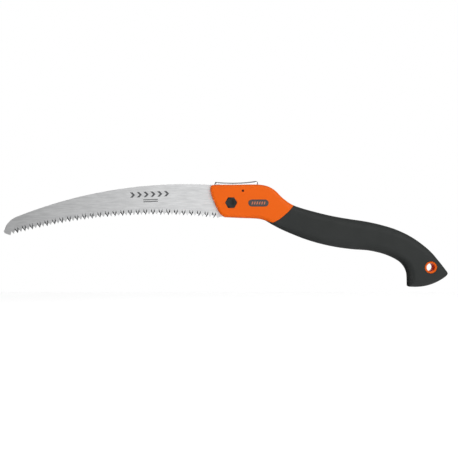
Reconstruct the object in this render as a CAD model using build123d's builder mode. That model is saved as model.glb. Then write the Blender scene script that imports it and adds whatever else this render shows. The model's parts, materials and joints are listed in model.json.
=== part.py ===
from build123d import *
import os
from math import cos, radians, sin, sqrt

# Folding pruning saw, shown open: a curved blade that folds into a two-shell handle,
# held by a sprung rocker lock.
# Row frame: origin at the middle of the hang hole, +X along the handle away from the blade,
# +Z up (the blade's back), -Y towards the side with the bolt's head.

# ---------------------------------------------------------------- driving dimensions, mm and degrees
PIVOT_X = -191.6            # blade pivot, from the hang hole
PIVOT_Z = 62.1
FOLD = 155.5                # how far the blade turns from open to folded

BLADE_T = 1.4
SPINE_R = 440.9             # blade's back: one arc
SPINE_C = (-43.6, -422.7)
SPINE_FROM = -17.9          # where the back starts, half way along it, and where it ends
SPINE_MID = -100.0
SPINE_TO = -202.0
TOOTH_R = 518.1             # line of the tooth tips: one arc
TOOTH_C = (-72.8, -529.8)
TEETH = 56
TOOTH_DEPTH = 3.4
TOOTH_FROM = 105.77         # first and last tip, as angles about TOOTH_C
TOOTH_TO = 83.4
TANG_R = 14.2               # round rim of the blade's root
TANG_FLAT = -13.0           # its flat underside
SHOULDER = 130.0            # angle where the round rim turns up into the blade's shoulder

SLOT_W = 2.6                # slot between the shells that the blade folds into
TIP_ROOM = 1.5              # room beyond the tooth tips in the slot
RIM_ROOM = 0.8              # and beyond the rim of the root

CASE_W = 22.0               # width of the orange casing
GRIP_W = 24.8               # widest part of the grip
BUTT_W = 20.4               # width at the butt
CORE_W = 16.0               # shell's core under the grip
FLAT_FROM = -30.0           # the casing's sides are flat between these, from the pivot along X
FLAT_TO = 38.0
WIDEST_AT = 112.0
BUTT_END = 222.0
HANDLE_LOW = -30.0          # Z range that holds the whole handle, in the row frame
HANDLE_TALL = 120.0

BOLT_D = 6.0                # M6
BOLT_AF = 10.0
BOLT_HEAD_H = 4.0
HEX_PLAY = 0.1
HEX_CHAMFER = 0.4
BOLT_POINT = 0.5            # chamfer on the bolt's end
BOLT_SHORT = 0.4            # the bolt ends this far under the right face
BUSH_D = 8.0
BUSH_PLAY = 0.05            # running clearance, on the radius
THRUST_D = 16.0
THRUST_T = 0.45
NUT_WELL_D = 12.6
FLAT_WASHER_D = 12.0
FLAT_WASHER_T = 1.0
SPRING_WASHER_D = 10.4
SPRING_WASHER_T = 1.5
SPRING_WASHER_GAP = 0.7
SPRING_WASHER_SLANT = 20.0
NUT_H = 5.0
NUT_SUNK = 0.2              # the nut's top is this far under the right face
NUT_FLOOR = CASE_W / 2 - NUT_H - SPRING_WASHER_T - FLAT_WASHER_T - NUT_SUNK

LEVER_PIN = (11.3, 11.5)
LEVER_PIN_D = 2.4
LEVER_PIN_L = 14.0
LEVER_PLAY = 0.05
LEVER_W = 9.6
LEVER_SHEET = 1.1
ENGAGE = 7.5                # lever angle from rest, where the lock pin is just clear, into a notch
LOCK_PIN = (-7.0, 14.4)
LOCK_PIN_D = 3.0
NOTCH_PLAY = 0.25
NOTCH_DEPTH = 6.0           # the notch runs on this far past the engaged pin, out through the rim
NOTCH_LEAN = 0.2
WELL_W = 10.6               # lever's well in the shells
WELL_FLOOR = 8.2
SEAT_Z = 12.0               # raised floor under the thumb end, the spring's seat
SEAT_X = 15.2
SPRING_X = 20.4
SPRING_D = 4.4
SPRING_WIRE = 0.7
SPRING_TURNS = 4
SPRING_TOP = 19.3

BADGE = (26.2, -0.3)
BADGE_L = 19.6
BADGE_H = 6.8
BADGE_DEPTH = 0.6

HANG_HOLE_D = 8.0
EYELET_D = 12.0
EYELET_L = 20.0             # over both rings

SCREWS = [(34.0, 6.0), (76.0, -14.6), (136.0, -29.5), (180.0, -46.5)]
SCREW_D = 3.0
SCREW_HEAD_D = 5.6
SCREW_HEAD_H = 2.0
CROSS_L = 3.0               # cross recess in the screws' heads
CROSS_W = 0.7
CROSS_DEPTH = 1.2
SCREW_TIP = -5.0            # Y that the screws' points reach in the left shell
SCREW_SEAT = 6.0            # Y of their seats in the right shell

FAR = 60.0                  # longer than anything that it cuts

# Side-view plane: its x and y are the row's X and Z from the pivot, and its normal is -Y,
# so a positive extrusion goes to the left side.
SIDE = Plane(origin=(PIVOT_X, 0, PIVOT_Z), x_dir=(1, 0, 0), z_dir=(0, -1, 0))
HANG_HOLE = (-PIVOT_X, -PIVOT_Z)

os.makedirs("parts", exist_ok=True)


def save(piece, name):
    """Label a finished piece and write its file."""
    piece.part.label = name
    export_step(piece.part, f"parts/{name}.step")


def turned(point, angle, about=(0, 0)):
    """A side-view point turned about another, anticlockwise as seen from the left side."""
    x, z = point[0] - about[0], point[1] - about[1]
    c, s = cos(radians(angle)), sin(radians(angle))
    return (about[0] + x * c - z * s, about[1] + x * s + z * c)


def on_arc(centre, radius, x):
    """The upper point of a circle at x."""
    return (x, centre[1] + sqrt(radius**2 - (x - centre[0]) ** 2))


def polar(centre, radius, angle):
    """A point given by its angle about a centre."""
    return (centre[0] + radius * cos(radians(angle)), centre[1] + radius * sin(radians(angle)))


# ---------------------------------------------------------------- side outlines
with BuildSketch(SIDE) as silhouette:
    # the whole handle from the side: casing, grip and hooked butt
    with BuildLine():
        top = Line((-16.8, 17.3), (25.0, 17.6))
        back = Spline(
            (25.0, 17.6), (36.2, 15.5), (44.0, 10.3), (51.7, 3.0), (60.5, -2.3), (82.7, -9.2), (109.8, -15.0),
            (136.9, -19.3), (160.1, -26.1), (175.6, -33.9), (191.1, -45.8), (200.2, -56.2), (208.6, -66.8),
        )
        corner = Line((208.6, -66.8), (207.6, -70.0))
        butt = ThreePointArc(corner @ 1, (194.6, -77.9), (171.0, -80.6))
        hook = Line(butt @ 1, (170.4, -71.0))
        belly = Spline(
            (170.4, -71.0), (169.9, -67.0), (167.7, -62.0), (158.5, -53.9), (144.6, -48.5), (125.3, -45.4),
            (102.0, -42.8), (78.8, -37.3), (55.6, -28.6), (40.1, -21.0), (32.3, -16.8), (24.0, -15.1),
        )
        keel = Line((24.0, -15.1), (-5.8, -13.8))
        nose = Spline((-5.8, -13.8), (-9.5, -11.7), (-12.6, -7.3), (-16.4, 0.8), (-19.3, 8.6), (-20.1, 13.8))
        ThreePointArc(nose @ 1, (-19.2, 16.2), (-16.8, 17.3))
    make_face()

with BuildSketch(SIDE) as grip_zone:
    # everything behind the curved line where the casing meets the grip
    with BuildLine():
        seam = ThreePointArc((62.7, 2.5), (52.9, -10.6), (36.0, -20.8))
        Polyline(seam @ 1, (36.0, -95.0), (225.0, -95.0), (225.0, 2.5), seam @ 0)
    make_face()

with BuildSketch(SIDE) as slot_zone:
    # every place that the blade passes through on its way from open to folded
    with BuildLine():
        Polyline((-40, -95), (225, -95), (225, 30), (-40, 30), close=True)
    make_face()
    with Locations(turned(TOOTH_C, FOLD)):
        Circle(TOOTH_R - TIP_ROOM, mode=Mode.SUBTRACT)
    Circle(TANG_R + RIM_ROOM)

with BuildSketch(SIDE) as core_outline:
    # the shell's core, about 2.4 inside the grip all round; it runs on into the casing
    with BuildLine():
        core_back = Spline(
            (52.0, -1.5), (60.6, -4.9), (82.0, -11.6), (109.4, -17.4), (136.3, -21.7), (159.0, -28.3),
            (174.2, -35.9), (189.4, -47.6), (203.5, -63.3),
        )
        core_butt = ThreePointArc(core_back @ 1, (191.5, -76.2), (173.5, -78.3))
        core_hook = Line(core_butt @ 1, (172.9, -71.0))
        core_belly = Spline(
            core_hook @ 1, (172.3, -66.0), (169.6, -60.4), (159.6, -51.7), (145.2, -46.1), (125.6, -43.0),
            (102.5, -40.4), (79.6, -35.0), (56.6, -26.4), (46.0, -21.4),
        )
        Polyline(core_belly @ 1, (40.0, -14.0), core_back @ 0)
    make_face()

with BuildSketch(SIDE) as lever_well:
    with BuildLine():
        Polyline(
            (-17.6, WELL_FLOOR), (SEAT_X, WELL_FLOOR), (SEAT_X, SEAT_Z), (27.2, SEAT_Z),
            (27.2, 30), (-17.6, 30), close=True,
        )
    make_face()

# ---------------------------------------------------------------- left half, before its details
with BuildPart() as half_width:
    # plan view: flat casing, grip swelling to its middle and narrowing to the butt
    with BuildSketch(Plane.XY.offset(HANDLE_LOW)):
        with BuildLine():
            flat = Line((PIVOT_X + FLAT_FROM, -CASE_W / 2), (PIVOT_X + FLAT_TO, -CASE_W / 2))
            swell = Spline(
                flat @ 1, (PIVOT_X + WIDEST_AT, -GRIP_W / 2), (PIVOT_X + BUTT_END, -BUTT_W / 2),
                tangents=[(1, 0), (1, 0.02)],
            )
            Polyline(swell @ 1, (PIVOT_X + BUTT_END, 0), (PIVOT_X + FLAT_FROM, 0), flat @ 0)
        make_face()
    extrude(amount=HANDLE_TALL)

with BuildPart() as half_handle:
    extrude(to_extrude=silhouette.sketch, amount=GRIP_W)
    add(half_width.part, mode=Mode.INTERSECT)

with BuildPart() as slot:
    extrude(to_extrude=slot_zone.sketch, amount=SLOT_W / 2, both=True)

with BuildPart() as well:
    extrude(to_extrude=lever_well.sketch, amount=WELL_W / 2, both=True)

with BuildPart() as behind_seam:
    extrude(to_extrude=grip_zone.sketch, amount=FAR, both=True)

with BuildPart() as casing:
    add(half_handle.part)
    add(behind_seam.part, mode=Mode.SUBTRACT)

with BuildPart() as core:
    extrude(to_extrude=core_outline.sketch, amount=CORE_W / 2, both=True)

with BuildPart() as left_core:
    add(core.part)
    split(bisect_by=Plane.XZ, keep=Keep.TOP)

with BuildPart() as half_shell:
    # casing and core in one moulding
    add(casing.part)
    add(left_core.part)
    add(slot.part, mode=Mode.SUBTRACT)
    add(well.part, mode=Mode.SUBTRACT)
    with BuildSketch(SIDE):
        Circle(BOLT_D / 2)
        with Locations(LEVER_PIN):
            Circle(LEVER_PIN_D / 2)
        with Locations(HANG_HOLE):
            Circle(EYELET_D / 2)
    extrude(amount=FAR, mode=Mode.SUBTRACT)
    with BuildSketch(SIDE.offset(CASE_W / 2 - BADGE_DEPTH)):
        with Locations(BADGE):
            SlotOverall(BADGE_L, BADGE_H)
    extrude(amount=BADGE_DEPTH * 2, mode=Mode.SUBTRACT)

with BuildPart() as half_grip:
    # soft grip moulded round the core, open along the slot
    add(half_handle.part)
    add(behind_seam.part, mode=Mode.INTERSECT)
    add(core.part, mode=Mode.SUBTRACT)
    add(slot.part, mode=Mode.SUBTRACT)
    with BuildSketch(SIDE):
        with Locations(HANG_HOLE):
            Circle(EYELET_D / 2)
    extrude(amount=FAR, mode=Mode.SUBTRACT)

# ---------------------------------------------------------------- shells and grips
with BuildPart() as left_shell:
    add(half_shell.part)
    with BuildSketch(SIDE.offset(CASE_W / 2 - BOLT_HEAD_H - HEX_PLAY)):
        RegularPolygon(BOLT_AF / 2 + HEX_PLAY, 6, major_radius=False)
    extrude(amount=FAR, mode=Mode.SUBTRACT)
    with BuildSketch(SIDE):
        with Locations(SCREWS):
            Circle(SCREW_D / 2)
    extrude(amount=-SCREW_TIP, mode=Mode.SUBTRACT)
save(left_shell, "left_shell")

with BuildPart() as right_shell:
    mirror(half_shell.part, about=Plane.XZ)
    with BuildSketch(SIDE.offset(-NUT_FLOOR)):
        Circle(NUT_WELL_D / 2)
    extrude(amount=-FAR, mode=Mode.SUBTRACT)
    with BuildSketch(SIDE):
        with Locations(SCREWS):
            Circle(SCREW_D / 2)
    extrude(amount=-FAR, mode=Mode.SUBTRACT)
    with BuildSketch(SIDE.offset(-SCREW_SEAT)):
        with Locations(SCREWS):
            Circle(SCREW_HEAD_D / 2)
    extrude(amount=-FAR, mode=Mode.SUBTRACT)
save(right_shell, "right_shell")

with BuildPart() as left_grip:
    add(half_grip.part)
save(left_grip, "left_grip")

with BuildPart() as right_grip:
    mirror(half_grip.part, about=Plane.XZ)
    with BuildSketch(SIDE.offset(-SCREW_SEAT)):
        with Locations(SCREWS):
            Circle(SCREW_HEAD_D / 2)
    extrude(amount=-FAR, mode=Mode.SUBTRACT)
save(right_grip, "right_grip")

# ---------------------------------------------------------------- blade
engaged_pin = turned(LOCK_PIN, ENGAGE, about=LEVER_PIN)
notch_mouth = (engaged_pin[0] + NOTCH_LEAN, engaged_pin[1] + NOTCH_DEPTH)
pitch = (TOOTH_TO - TOOTH_FROM) / (TEETH - 1)
tips = [polar(TOOTH_C, TOOTH_R, TOOTH_FROM + pitch * i) for i in range(TEETH)]
gullets = [polar(TOOTH_C, TOOTH_R + TOOTH_DEPTH, TOOTH_FROM + pitch * (i + 0.5)) for i in range(TEETH - 1)]
tooth_line = [tips[0]]
for gullet, tip in zip(gullets, tips[1:]):
    tooth_line += [gullet, tip]
spine_start = on_arc(SPINE_C, SPINE_R, SPINE_FROM)
spine_middle = on_arc(SPINE_C, SPINE_R, SPINE_MID)
spine_end = on_arc(SPINE_C, SPINE_R, SPINE_TO)
rim_end = polar((0, 0), TANG_R, SHOULDER)
flat_end = (sqrt(TANG_R**2 - TANG_FLAT**2), TANG_FLAT)

with BuildPart() as blade:
    with BuildSketch(SIDE.offset(-BLADE_T / 2)):
        with BuildLine():
            Polyline(rim_end, (-17.2, 14.2), spine_start)
            spine = ThreePointArc(spine_start, spine_middle, spine_end)
            toe = Spline(
                spine @ 1, (-210.9, -15.0), (-217.0, -20.8), (-220.0, -27.6),
                tangents=[spine % 1, (-0.1, -1)],
            )
            Polyline(toe @ 1, (-218.8, -29.5), *tooth_line, (-10.5, -13.2), (-8.0, TANG_FLAT), flat_end)
            ThreePointArc(flat_end, (TANG_R, 0), rim_end)
        make_face()
        Circle(BUSH_D / 2 + BUSH_PLAY, mode=Mode.SUBTRACT)
        # lock notches: one for the open blade and one for the folded blade
        for angle in (0, -FOLD):
            SlotCenterPoint(
                center=[(a + b) / 2 for a, b in zip(turned(engaged_pin, angle), turned(notch_mouth, angle))],
                point=turned(engaged_pin, angle),
                height=LOCK_PIN_D + 2 * NOTCH_PLAY,
                mode=Mode.SUBTRACT,
            )
    extrude(amount=BLADE_T)
save(blade, "blade")

# ---------------------------------------------------------------- pivot
with BuildPart() as pivot_bush:
    with BuildSketch(SIDE.offset(-SLOT_W / 2)):
        Circle(BUSH_D / 2)
        Circle(BOLT_D / 2, mode=Mode.SUBTRACT)
    extrude(amount=SLOT_W)
save(pivot_bush, "pivot_bush")

for name, level in (("left_thrust_washer", SLOT_W / 2 - THRUST_T), ("right_thrust_washer", -SLOT_W / 2)):
    with BuildPart() as thrust_washer:
        with BuildSketch(SIDE.offset(level)):
            Circle(THRUST_D / 2)
            Circle(BUSH_D / 2, mode=Mode.SUBTRACT)
        extrude(amount=THRUST_T)
    save(thrust_washer, name)

with BuildPart() as pivot_bolt:
    head_seat = CASE_W / 2 - BOLT_HEAD_H - HEX_PLAY
    with BuildSketch(SIDE.offset(head_seat)):
        RegularPolygon(BOLT_AF / 2, 6, major_radius=False)
    extrude(amount=BOLT_HEAD_H)
    chamfer(pivot_bolt.faces().sort_by(Axis.Y)[0].edges(), HEX_CHAMFER)
    with BuildSketch(SIDE.offset(head_seat)):
        Circle(BOLT_D / 2)
    extrude(amount=-(head_seat + CASE_W / 2 - BOLT_SHORT))
    chamfer(pivot_bolt.faces().sort_by(Axis.Y)[-1].edges(), BOLT_POINT)
save(pivot_bolt, "pivot_bolt")

with BuildPart() as flat_washer:
    with BuildSketch(SIDE.offset(-NUT_FLOOR)):
        Circle(FLAT_WASHER_D / 2)
        Circle(BOLT_D / 2, mode=Mode.SUBTRACT)
    extrude(amount=-FLAT_WASHER_T)
save(flat_washer, "flat_washer")

with BuildPart() as spring_washer:
    # split ring, pressed flat
    with BuildSketch(SIDE.offset(-NUT_FLOOR - FLAT_WASHER_T)):
        Circle(SPRING_WASHER_D / 2)
        Circle(BOLT_D / 2, mode=Mode.SUBTRACT)
        with Locations((0, SPRING_WASHER_D / 2)):
            Rectangle(
                SPRING_WASHER_GAP, SPRING_WASHER_D - BOLT_D + 1,
                rotation=SPRING_WASHER_SLANT, mode=Mode.SUBTRACT,
            )
    extrude(amount=-SPRING_WASHER_T)
save(spring_washer, "spring_washer")

with BuildPart() as pivot_nut:
    with BuildSketch(SIDE.offset(-NUT_FLOOR - FLAT_WASHER_T - SPRING_WASHER_T)):
        RegularPolygon(BOLT_AF / 2, 6, major_radius=False)
        Circle(BOLT_D / 2, mode=Mode.SUBTRACT)
    extrude(amount=-NUT_H)
    chamfer(pivot_nut.faces().sort_by(Axis.Y)[-1].outer_wire().edges(), HEX_CHAMFER)
save(pivot_nut, "pivot_nut")

# ---------------------------------------------------------------- lock
with BuildSketch(SIDE) as lever_side:
    with BuildLine():
        thumb_rest = ThreePointArc((-15.1, 20.3), (2.0, 19.45), (23.6, 21.1))
        thumb_end = ThreePointArc((23.6, 21.1), (25.4, 20.3), (26.0, 18.3))
        Polyline(thumb_end @ 1, (25.6, 16.2), (14.1, 13.2))
        heel = ThreePointArc((14.1, 13.2), (11.9, 8.9), (8.6, 10.2))
        Polyline(heel @ 1, (-4.0, 12.3), (-9.8, 12.6), (-16.4, 17.4), thumb_rest @ 0)
    make_face()

with BuildPart() as lock_lever:
    extrude(to_extrude=lever_side.sketch, amount=LEVER_W / 2, both=True)
    with BuildSketch(SIDE):
        # inside of the channel, under the sheet's bent top
        with BuildLine():
            under = ThreePointArc(
                (-20.0, 20.9 - LEVER_SHEET), (2.0, 19.45 - LEVER_SHEET), (28.0, 21.5 - LEVER_SHEET)
            )
            Polyline(under @ 1, (28, 0), (-20, 0), under @ 0)
        make_face()
    extrude(amount=LEVER_W / 2 - LEVER_SHEET, both=True, mode=Mode.SUBTRACT)
    with BuildSketch(SIDE):
        with Locations(LEVER_PIN):
            Circle(LEVER_PIN_D / 2 + LEVER_PLAY)
        with Locations(LOCK_PIN):
            Circle(LOCK_PIN_D / 2)
    extrude(amount=FAR, both=True, mode=Mode.SUBTRACT)
save(lock_lever, "lock_lever")

with BuildPart() as lock_pin:
    with BuildSketch(SIDE.offset(-LEVER_W / 2)):
        with Locations(LOCK_PIN):
            Circle(LOCK_PIN_D / 2)
    extrude(amount=LEVER_W)
save(lock_pin, "lock_pin")

with BuildPart() as lever_pin:
    with BuildSketch(SIDE.offset(-LEVER_PIN_L / 2)):
        with Locations(LEVER_PIN):
            Circle(LEVER_PIN_D / 2)
    extrude(amount=LEVER_PIN_L)
save(lever_pin, "lever_pin")

with BuildPart() as lever_spring:
    with BuildLine(Plane(origin=(PIVOT_X + SPRING_X, 0, PIVOT_Z + SEAT_Z + SPRING_WIRE / 2))):
        coil_height = SPRING_TOP - SEAT_Z - SPRING_WIRE
        coil = Helix(coil_height / SPRING_TURNS, coil_height, (SPRING_D - SPRING_WIRE) / 2)
    with BuildSketch(Plane(origin=coil @ 0, z_dir=coil % 0)):
        Circle(SPRING_WIRE / 2)
    sweep(path=coil, is_frenet=True)
save(lever_spring, "lever_spring")

# ---------------------------------------------------------------- trim and fasteners
for name, sign in (("left_badge", 1), ("right_badge", -1)):
    with BuildPart() as badge:
        with BuildSketch(SIDE.offset(sign * (CASE_W / 2 - BADGE_DEPTH))):
            with Locations(BADGE):
                SlotOverall(BADGE_L, BADGE_H)
        extrude(amount=sign * BADGE_DEPTH)
    save(badge, name)

for name, sign in (("left_eyelet", 1), ("right_eyelet", -1)):
    with BuildPart() as eyelet:
        with BuildSketch(SIDE.offset(sign * SLOT_W / 2)):
            with Locations(HANG_HOLE):
                Circle(EYELET_D / 2)
                Circle(HANG_HOLE_D / 2, mode=Mode.SUBTRACT)
        extrude(amount=sign * (EYELET_L - SLOT_W) / 2)
    save(eyelet, name)

with BuildPart() as shell_screws:
    # pan-head screws driven from the right side
    with BuildSketch(SIDE.offset(-SCREW_SEAT)):
        with Locations(SCREWS):
            Circle(SCREW_D / 2)
    extrude(amount=SCREW_SEAT - SCREW_TIP)
    with BuildSketch(SIDE.offset(-SCREW_SEAT)):
        with Locations(SCREWS):
            Circle(SCREW_HEAD_D / 2)
    extrude(amount=-SCREW_HEAD_H)
    with BuildSketch(SIDE.offset(-SCREW_SEAT - SCREW_HEAD_H)):
        with Locations(SCREWS):
            Rectangle(CROSS_L, CROSS_W)
            Rectangle(CROSS_W, CROSS_L)
    extrude(amount=CROSS_DEPTH, mode=Mode.SUBTRACT)
save(shell_screws, "shell_screws")
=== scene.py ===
"""Looks for the folding pruning saw: orange casing, black grip, curved steel blade, sprung lock lever.

Side-view sizes are in millimetres from the blade's pivot: x towards the butt, z up, and y across the
handle, with the bolt's head on the -y side.
"""

import json
import math

import bmesh
import bpy
import numpy as np
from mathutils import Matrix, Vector


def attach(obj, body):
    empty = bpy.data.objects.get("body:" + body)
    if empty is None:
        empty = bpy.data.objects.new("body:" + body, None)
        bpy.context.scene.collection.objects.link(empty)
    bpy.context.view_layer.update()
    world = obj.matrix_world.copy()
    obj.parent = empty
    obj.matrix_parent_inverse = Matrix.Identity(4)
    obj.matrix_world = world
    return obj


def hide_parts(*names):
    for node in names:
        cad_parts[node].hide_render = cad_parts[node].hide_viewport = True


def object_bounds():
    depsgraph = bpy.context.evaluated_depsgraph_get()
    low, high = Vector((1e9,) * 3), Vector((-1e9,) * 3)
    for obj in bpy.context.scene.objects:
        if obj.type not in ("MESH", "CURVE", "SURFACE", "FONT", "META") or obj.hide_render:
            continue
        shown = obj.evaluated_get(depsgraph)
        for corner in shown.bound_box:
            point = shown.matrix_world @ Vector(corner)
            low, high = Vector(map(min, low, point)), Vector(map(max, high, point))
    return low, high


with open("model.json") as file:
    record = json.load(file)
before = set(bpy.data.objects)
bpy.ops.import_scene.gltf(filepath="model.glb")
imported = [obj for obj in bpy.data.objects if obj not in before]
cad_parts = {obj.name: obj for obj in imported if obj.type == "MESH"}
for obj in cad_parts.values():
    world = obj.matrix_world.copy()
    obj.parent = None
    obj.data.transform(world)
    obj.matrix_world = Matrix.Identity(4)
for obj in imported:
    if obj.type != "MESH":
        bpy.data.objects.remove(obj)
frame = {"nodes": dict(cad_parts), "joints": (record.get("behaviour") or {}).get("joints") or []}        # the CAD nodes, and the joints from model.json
CAD_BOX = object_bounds()

MM = 0.001
FOLD_JOINT = next(joint for joint in frame["joints"] if joint["name"] == "blade_fold")
PIVOT = Vector(FOLD_JOINT["pos_m"])
FOLD = FOLD_JOINT["range_deg"][1]

# ---------------------------------------------------------------- sizes shared with the CAD model, mm
SLOT_W = 2.6
BLADE_T = 1.4
BUSH_HOLE_D = 8.1
BOLT_D = 6.0
HEX_AF = 10.0
HEAD_TOP = -10.9
HEAD_SEAT = -6.9
NUT_SEAT = 5.8
NUT_TOP = 10.8
NUT_WELL_D = 12.6
NUT_WELL_FLOOR = 3.3
LEVER_PIN = (11.3, 11.5)
LEVER_PIN_D = 2.4
LEVER_W = 9.6
LEVER_SHEET = 1.1
LOCK_PIN = (-7.0, 14.4)
LOCK_PIN_D = 3.0
ENGAGE = 7.5
NOTCH_W = 3.5
NOTCH_LEAN = 0.2
NOTCH_DEPTH = 6.0
WELL_W = 10.6
BADGE = (26.2, -0.3)
BADGE_L = 19.6
BADGE_H = 6.8
BADGE_DEPTH = 0.6
HANG_HOLE = (-PIVOT.x / MM, -PIVOT.z / MM)
HANG_HOLE_D = 8.0
EYELET_D = 12.0
EYELET_FACE = 10.0
SCREWS = [(34.0, 6.0), (76.0, -14.6), (136.0, -29.5), (180.0, -46.5)]
SCREW_WELL_D = 5.6
SCREW_SEAT = 6.0
CORE_W = 16.0

# ---------------------------------------------------------------- side outlines, mm from the pivot
CASE_TOP = [
    (-17.6, 17.05), (-14.0, 17.3), (4.0, 17.4), (24.6, 17.6), (28.5, 17.3), (32.3, 16.7), (36.2, 15.5),
    (40.1, 13.4), (44.0, 10.3), (47.8, 6.3), (51.7, 3.0), (55.6, 0.1), (60.2, -2.4),
]
GRIP_TOP = [
    (67.2, -4.9), (82.7, -9.2), (98.2, -12.8), (113.7, -15.5), (129.1, -17.8), (144.6, -21.2),
    (160.1, -26.1), (175.6, -33.9), (191.1, -45.8), (200.2, -56.2), (208.0, -66.3),
]
NOSE = [
    (-6.4, -13.8), (-9.5, -11.7), (-11.9, -8.5), (-14.1, -4.5), (-16.4, 0.8), (-18.2, 5.2), (-19.7, 10.0),
    (-20.1, 13.8), (-19.2, 16.2), (-17.6, 17.05),
]
CASE_BOTTOM = [(-6.4, -13.8), (9.1, -14.5), (24.6, -15.1), (28.5, -15.6), (33.6, -17.2)]
GRIP_BOTTOM = [
    (36.0, -18.6), (40.1, -21.0), (47.8, -25.1), (55.6, -28.6), (71.1, -34.8), (86.6, -39.5), (102.0, -42.8),
    (117.5, -44.8), (133.0, -46.0), (148.5, -49.6), (158.5, -53.9), (164.0, -57.5), (167.8, -62.1),
    (169.9, -67.0), (170.4, -71.0), (170.6, -78.4), (170.8, -80.2), (171.8, -80.9),
]
BUTT = [
    (171.8, -80.9), (179.5, -81.0), (187.2, -80.1), (195.0, -77.7), (202.4, -73.9), (207.6, -70.0),
    (208.6, -68.0), (208.0, -66.3),
]
UNDERLAP = [(33.6, -17.2), (36.8, -18.3), (39.8, -19.2)]      # the grip runs on under the casing's heel
SEAM = [(39.8, -19.2), (41.6, -18.5), (46.6, -15.7), (50.9, -12.3), (55.4, -8.2), (60.2, -2.4)]
# the orange core under the grip: its back, its butt, the inside of the hook, its belly and its neck
CORE_BACK = [
    (52.0, -1.5), (60.6, -4.9), (82.0, -11.6), (109.4, -17.4), (136.3, -21.7), (159.0, -28.3),
    (174.2, -35.9), (189.4, -47.6), (203.5, -63.3),
]
CORE_BUTT = [(203.5, -63.3), (200.0, -71.6), (191.5, -76.2), (182.0, -77.9), (173.5, -78.3)]
CORE_HOOK = (172.9, -71.0)
CORE_BELLY = [
    (172.3, -66.0), (169.6, -60.4), (159.6, -51.7), (145.2, -46.1), (125.6, -43.0), (102.5, -40.4),
    (79.6, -35.0), (56.6, -26.4), (46.0, -21.4),
]
CORE_NECK = (40.0, -14.0)
LEVER_WELL = [(-30, 8.2), (15.2, 8.2), (15.2, 12.0), (27.2, 12.0), (27.2, 30), (-30, 30)]
ROOF_R = 516.6              # the slot's roof: one arc, beyond the folded blade's tooth line
SLOT_FROM = -40.0
SLOT_TO = 225.0
SLOT_BOTTOM = -95.0
AROUND = [(-60, -130), (260, -130), (260, 60), (-60, 60)]      # holds the whole handle
TOOTH_C = (-72.8, -529.8)   # centre of the tooth line, with the blade open
TOOTH_R = 518.1

# ---------------------------------------------------------------- blade, mm
SPINE_R = 440.9
SPINE_C = (-43.6, -422.7)
SPINE_FROM = -17.9
SPINE_TO = -202.0
TEETH = 56
TOOTH_FROM = 105.77
TOOTH_TO = 83.4
TOOTH_DEPTH = 3.4
GROUND_DEPTH = 6.2          # how far up the blade a tooth's two ground faces reach
GROUND_AT = 0.42            # and there, how far they are from its middle, as a part of the pitch
FACET_DEPTH = 1.7           # where they part, above its tip
ODD_SHORT = 0.4             # every other tooth is this much shorter
TOE = [(-210.9, -15.0), (-217.0, -20.8), (-220.0, -27.6)]
TOE_CORNER = (-218.8, -29.5)
HEEL = (-10.5, -13.2)
TANG_R = 14.2
TANG_FLAT = -13.0
TANG_FLAT_FROM = -8.0
TANG_CORNER = (-17.2, 14.2)
SHOULDER = 130.0

# ---------------------------------------------------------------- handle section, mm
CASE_HALF = 11.0            # half widths: casing, fullest part of the grip, butt
GRIP_HALF = 12.4
BUTT_HALF = 10.2
FLAT_TO = 38.0
WIDEST_AT = 112.0
BUTT_END = 222.0
EDGE_AT = [-20, 38, 72, 120, 180, 215]         # radius of the handle's rounded edges along x
EDGE_RADIUS = [2.6, 3.2, 6.5, 8.6, 7.0, 4.5]
CROWN = 0.25                # how much the flat sides swell from their edges to their middle
CROWN_REACH = 12.0
SEAM_RADIUS = 0.5
PARTING = 0.01              # half of the gap between the left and right halves
FRONT = -1                  # sign of y on the side that the camera sees
OVERRUN = 1.0               # a left half is built this far past the middle, and then cut off there
OUTSIDE = 14.0              # clear of the handle's sides
CASE_MESH = (84, 46)        # columns and rows of points
GRIP_MESH = (150, 46)
PIN_SIDES = 32
EYELET_SIDES = 64


# ---------------------------------------------------------------- points and lines
def spot(x, z, y=0.0):
    """A row-frame point, in metres, for a place in millimetres from the pivot."""
    return (PIVOT.x + x * MM, y * MM, PIVOT.z + z * MM)


def smooth(points, steps=14):
    """A centripetal Catmull-Rom curve through points, as an array of x, z."""
    points = np.array(points, float)
    first = 2 * points[0] - points[1]
    last = 2 * points[-1] - points[-2]
    knots = np.vstack([first, points, last])
    line = []
    for p0, p1, p2, p3 in zip(knots, knots[1:], knots[2:], knots[3:]):
        t1 = math.sqrt(np.linalg.norm(p1 - p0))
        t2 = t1 + math.sqrt(np.linalg.norm(p2 - p1))
        t3 = t2 + math.sqrt(np.linalg.norm(p3 - p2))
        for t in np.linspace(t1, t2, steps, endpoint=False):
            a1 = (t1 - t) / t1 * p0 + t / t1 * p1
            a2 = (t2 - t) / (t2 - t1) * p1 + (t - t1) / (t2 - t1) * p2
            a3 = (t3 - t) / (t3 - t2) * p2 + (t - t2) / (t3 - t2) * p3
            b1 = (t2 - t) / t2 * a1 + t / t2 * a2
            b2 = (t3 - t) / (t3 - t1) * a2 + (t - t1) / (t3 - t1) * a3
            line.append((t2 - t) / (t2 - t1) * b1 + (t - t1) / (t2 - t1) * b2)
    line.append(points[-1])
    return np.array(line)


def along(line, shares):
    """Points at these shares of a line's length."""
    steps = np.linalg.norm(np.diff(line, axis=0), axis=1)
    reach = np.concatenate([[0], np.cumsum(steps)]) / steps.sum()
    return np.column_stack([np.interp(shares, reach, line[:, k]) for k in (0, 1)])


def eased(count):
    """Shares from 0 to 1, close together at both ends."""
    return (1 - np.cos(np.linspace(0, math.pi, count))) / 2


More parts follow.
